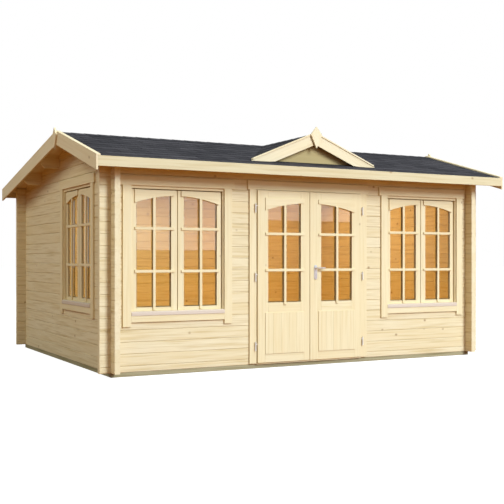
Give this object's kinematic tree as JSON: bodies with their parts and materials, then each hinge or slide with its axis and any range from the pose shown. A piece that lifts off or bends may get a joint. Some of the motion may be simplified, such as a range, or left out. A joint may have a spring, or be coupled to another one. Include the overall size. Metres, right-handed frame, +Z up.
{
  "type": "log cabin",
  "caption": "Hollow log cabin with an off-centre saddle roof, a small dormer over a glazed double door, arched casement windows and crossed log corners.",
  "frame": {"origin": "on the ground, at the centre of the roof's outline", "axes": "+X to the right along the front as seen from the front, +Y from the front to the rear, +Z up"},
  "size_m": [5.188, 4.03, 2.644],
  "materials": {
    "logs": "planed untreated spruce, matt, with fine grain and small knots",
    "planed_boards": "planed untreated spruce boards, matt",
    "joinery": "sanded untreated pine, matt",
    "floor_boards": "planed tongued boards, matt",
    "treated_timber": "rough sawn, olive impregnation",
    "shingles": "bitumen shingles with fine mineral grit, charcoal",
    "glass": "clear float glass",
    "zinc": "bright zinc plate",
    "handle_metal": "satin anodised"
  },
  "bodies": {
    "cabin": {"foundation_frame": "treated_timber", "floor": "floor_boards", "front_wall_left": "logs", "front_wall_right": "logs", "front_wall_over_door": "logs", "left_gable_wall": "logs", "right_gable_wall": "logs", "rear_wall": "logs", "ridge_purlin": "logs", "rear_purlins": "logs", "roof_boards_front": "planed_boards", "roof_boards_rear": "planed_boards", "roof_covering_front": "shingles", "roof_covering_rear": "shingles", "front_fascia": "planed_boards", "rear_fascia": "planed_boards", "left_bargeboards": "planed_boards", "right_bargeboards": "planed_boards", "verge_strips": "planed_boards", "gable_finials": "planed_boards", "dormer_panel": "planed_boards", "dormer_roof_boards": "planed_boards", "dormer_covering": "shingles", "dormer_bargeboards": "planed_boards", "dormer_verge_strips": "planed_boards", "dormer_finial": "planed_boards", "left_window_frame": "joinery", "right_window_frame": "joinery", "gable_window_frame": "joinery", "left_window_sashes": "joinery", "right_window_sashes": "joinery", "gable_window_sashes": "joinery", "window_trims": "joinery", "window_glass": "glass", "door_frame": "joinery", "door_trim": "joinery", "door_hinge_pins": "zinc"},
    "left_leaf": {"left_door_leaf": "joinery", "left_door_glass": "glass", "left_hinge_knuckles": "zinc"},
    "right_leaf": {"right_door_leaf": "joinery", "right_door_glass": "glass", "right_hinge_knuckles": "zinc", "handle_plate": "handle_metal"},
    "lever": {"door_lever": "handle_metal"}
  },
  "joints": [
    {"name": "left_leaf_swing", "type": "hinge", "parent": "cabin", "child": "left_leaf", "pos_m": [-0.7, -1.729, 1], "axis": [0, 0, -1], "range_deg": [0, 120]},
    {"name": "right_leaf_swing", "type": "hinge", "parent": "cabin", "child": "right_leaf", "pos_m": [0.7, -1.729, 1], "axis": [0, 0, 1], "range_deg": [0, 120]},
    {"name": "lever_turn", "type": "hinge", "parent": "right_leaf", "child": "lever", "pos_m": [0.0565, -1.75, 1.085], "axis": [0, 1, 0], "range_deg": [0, 40]}
  ]
}
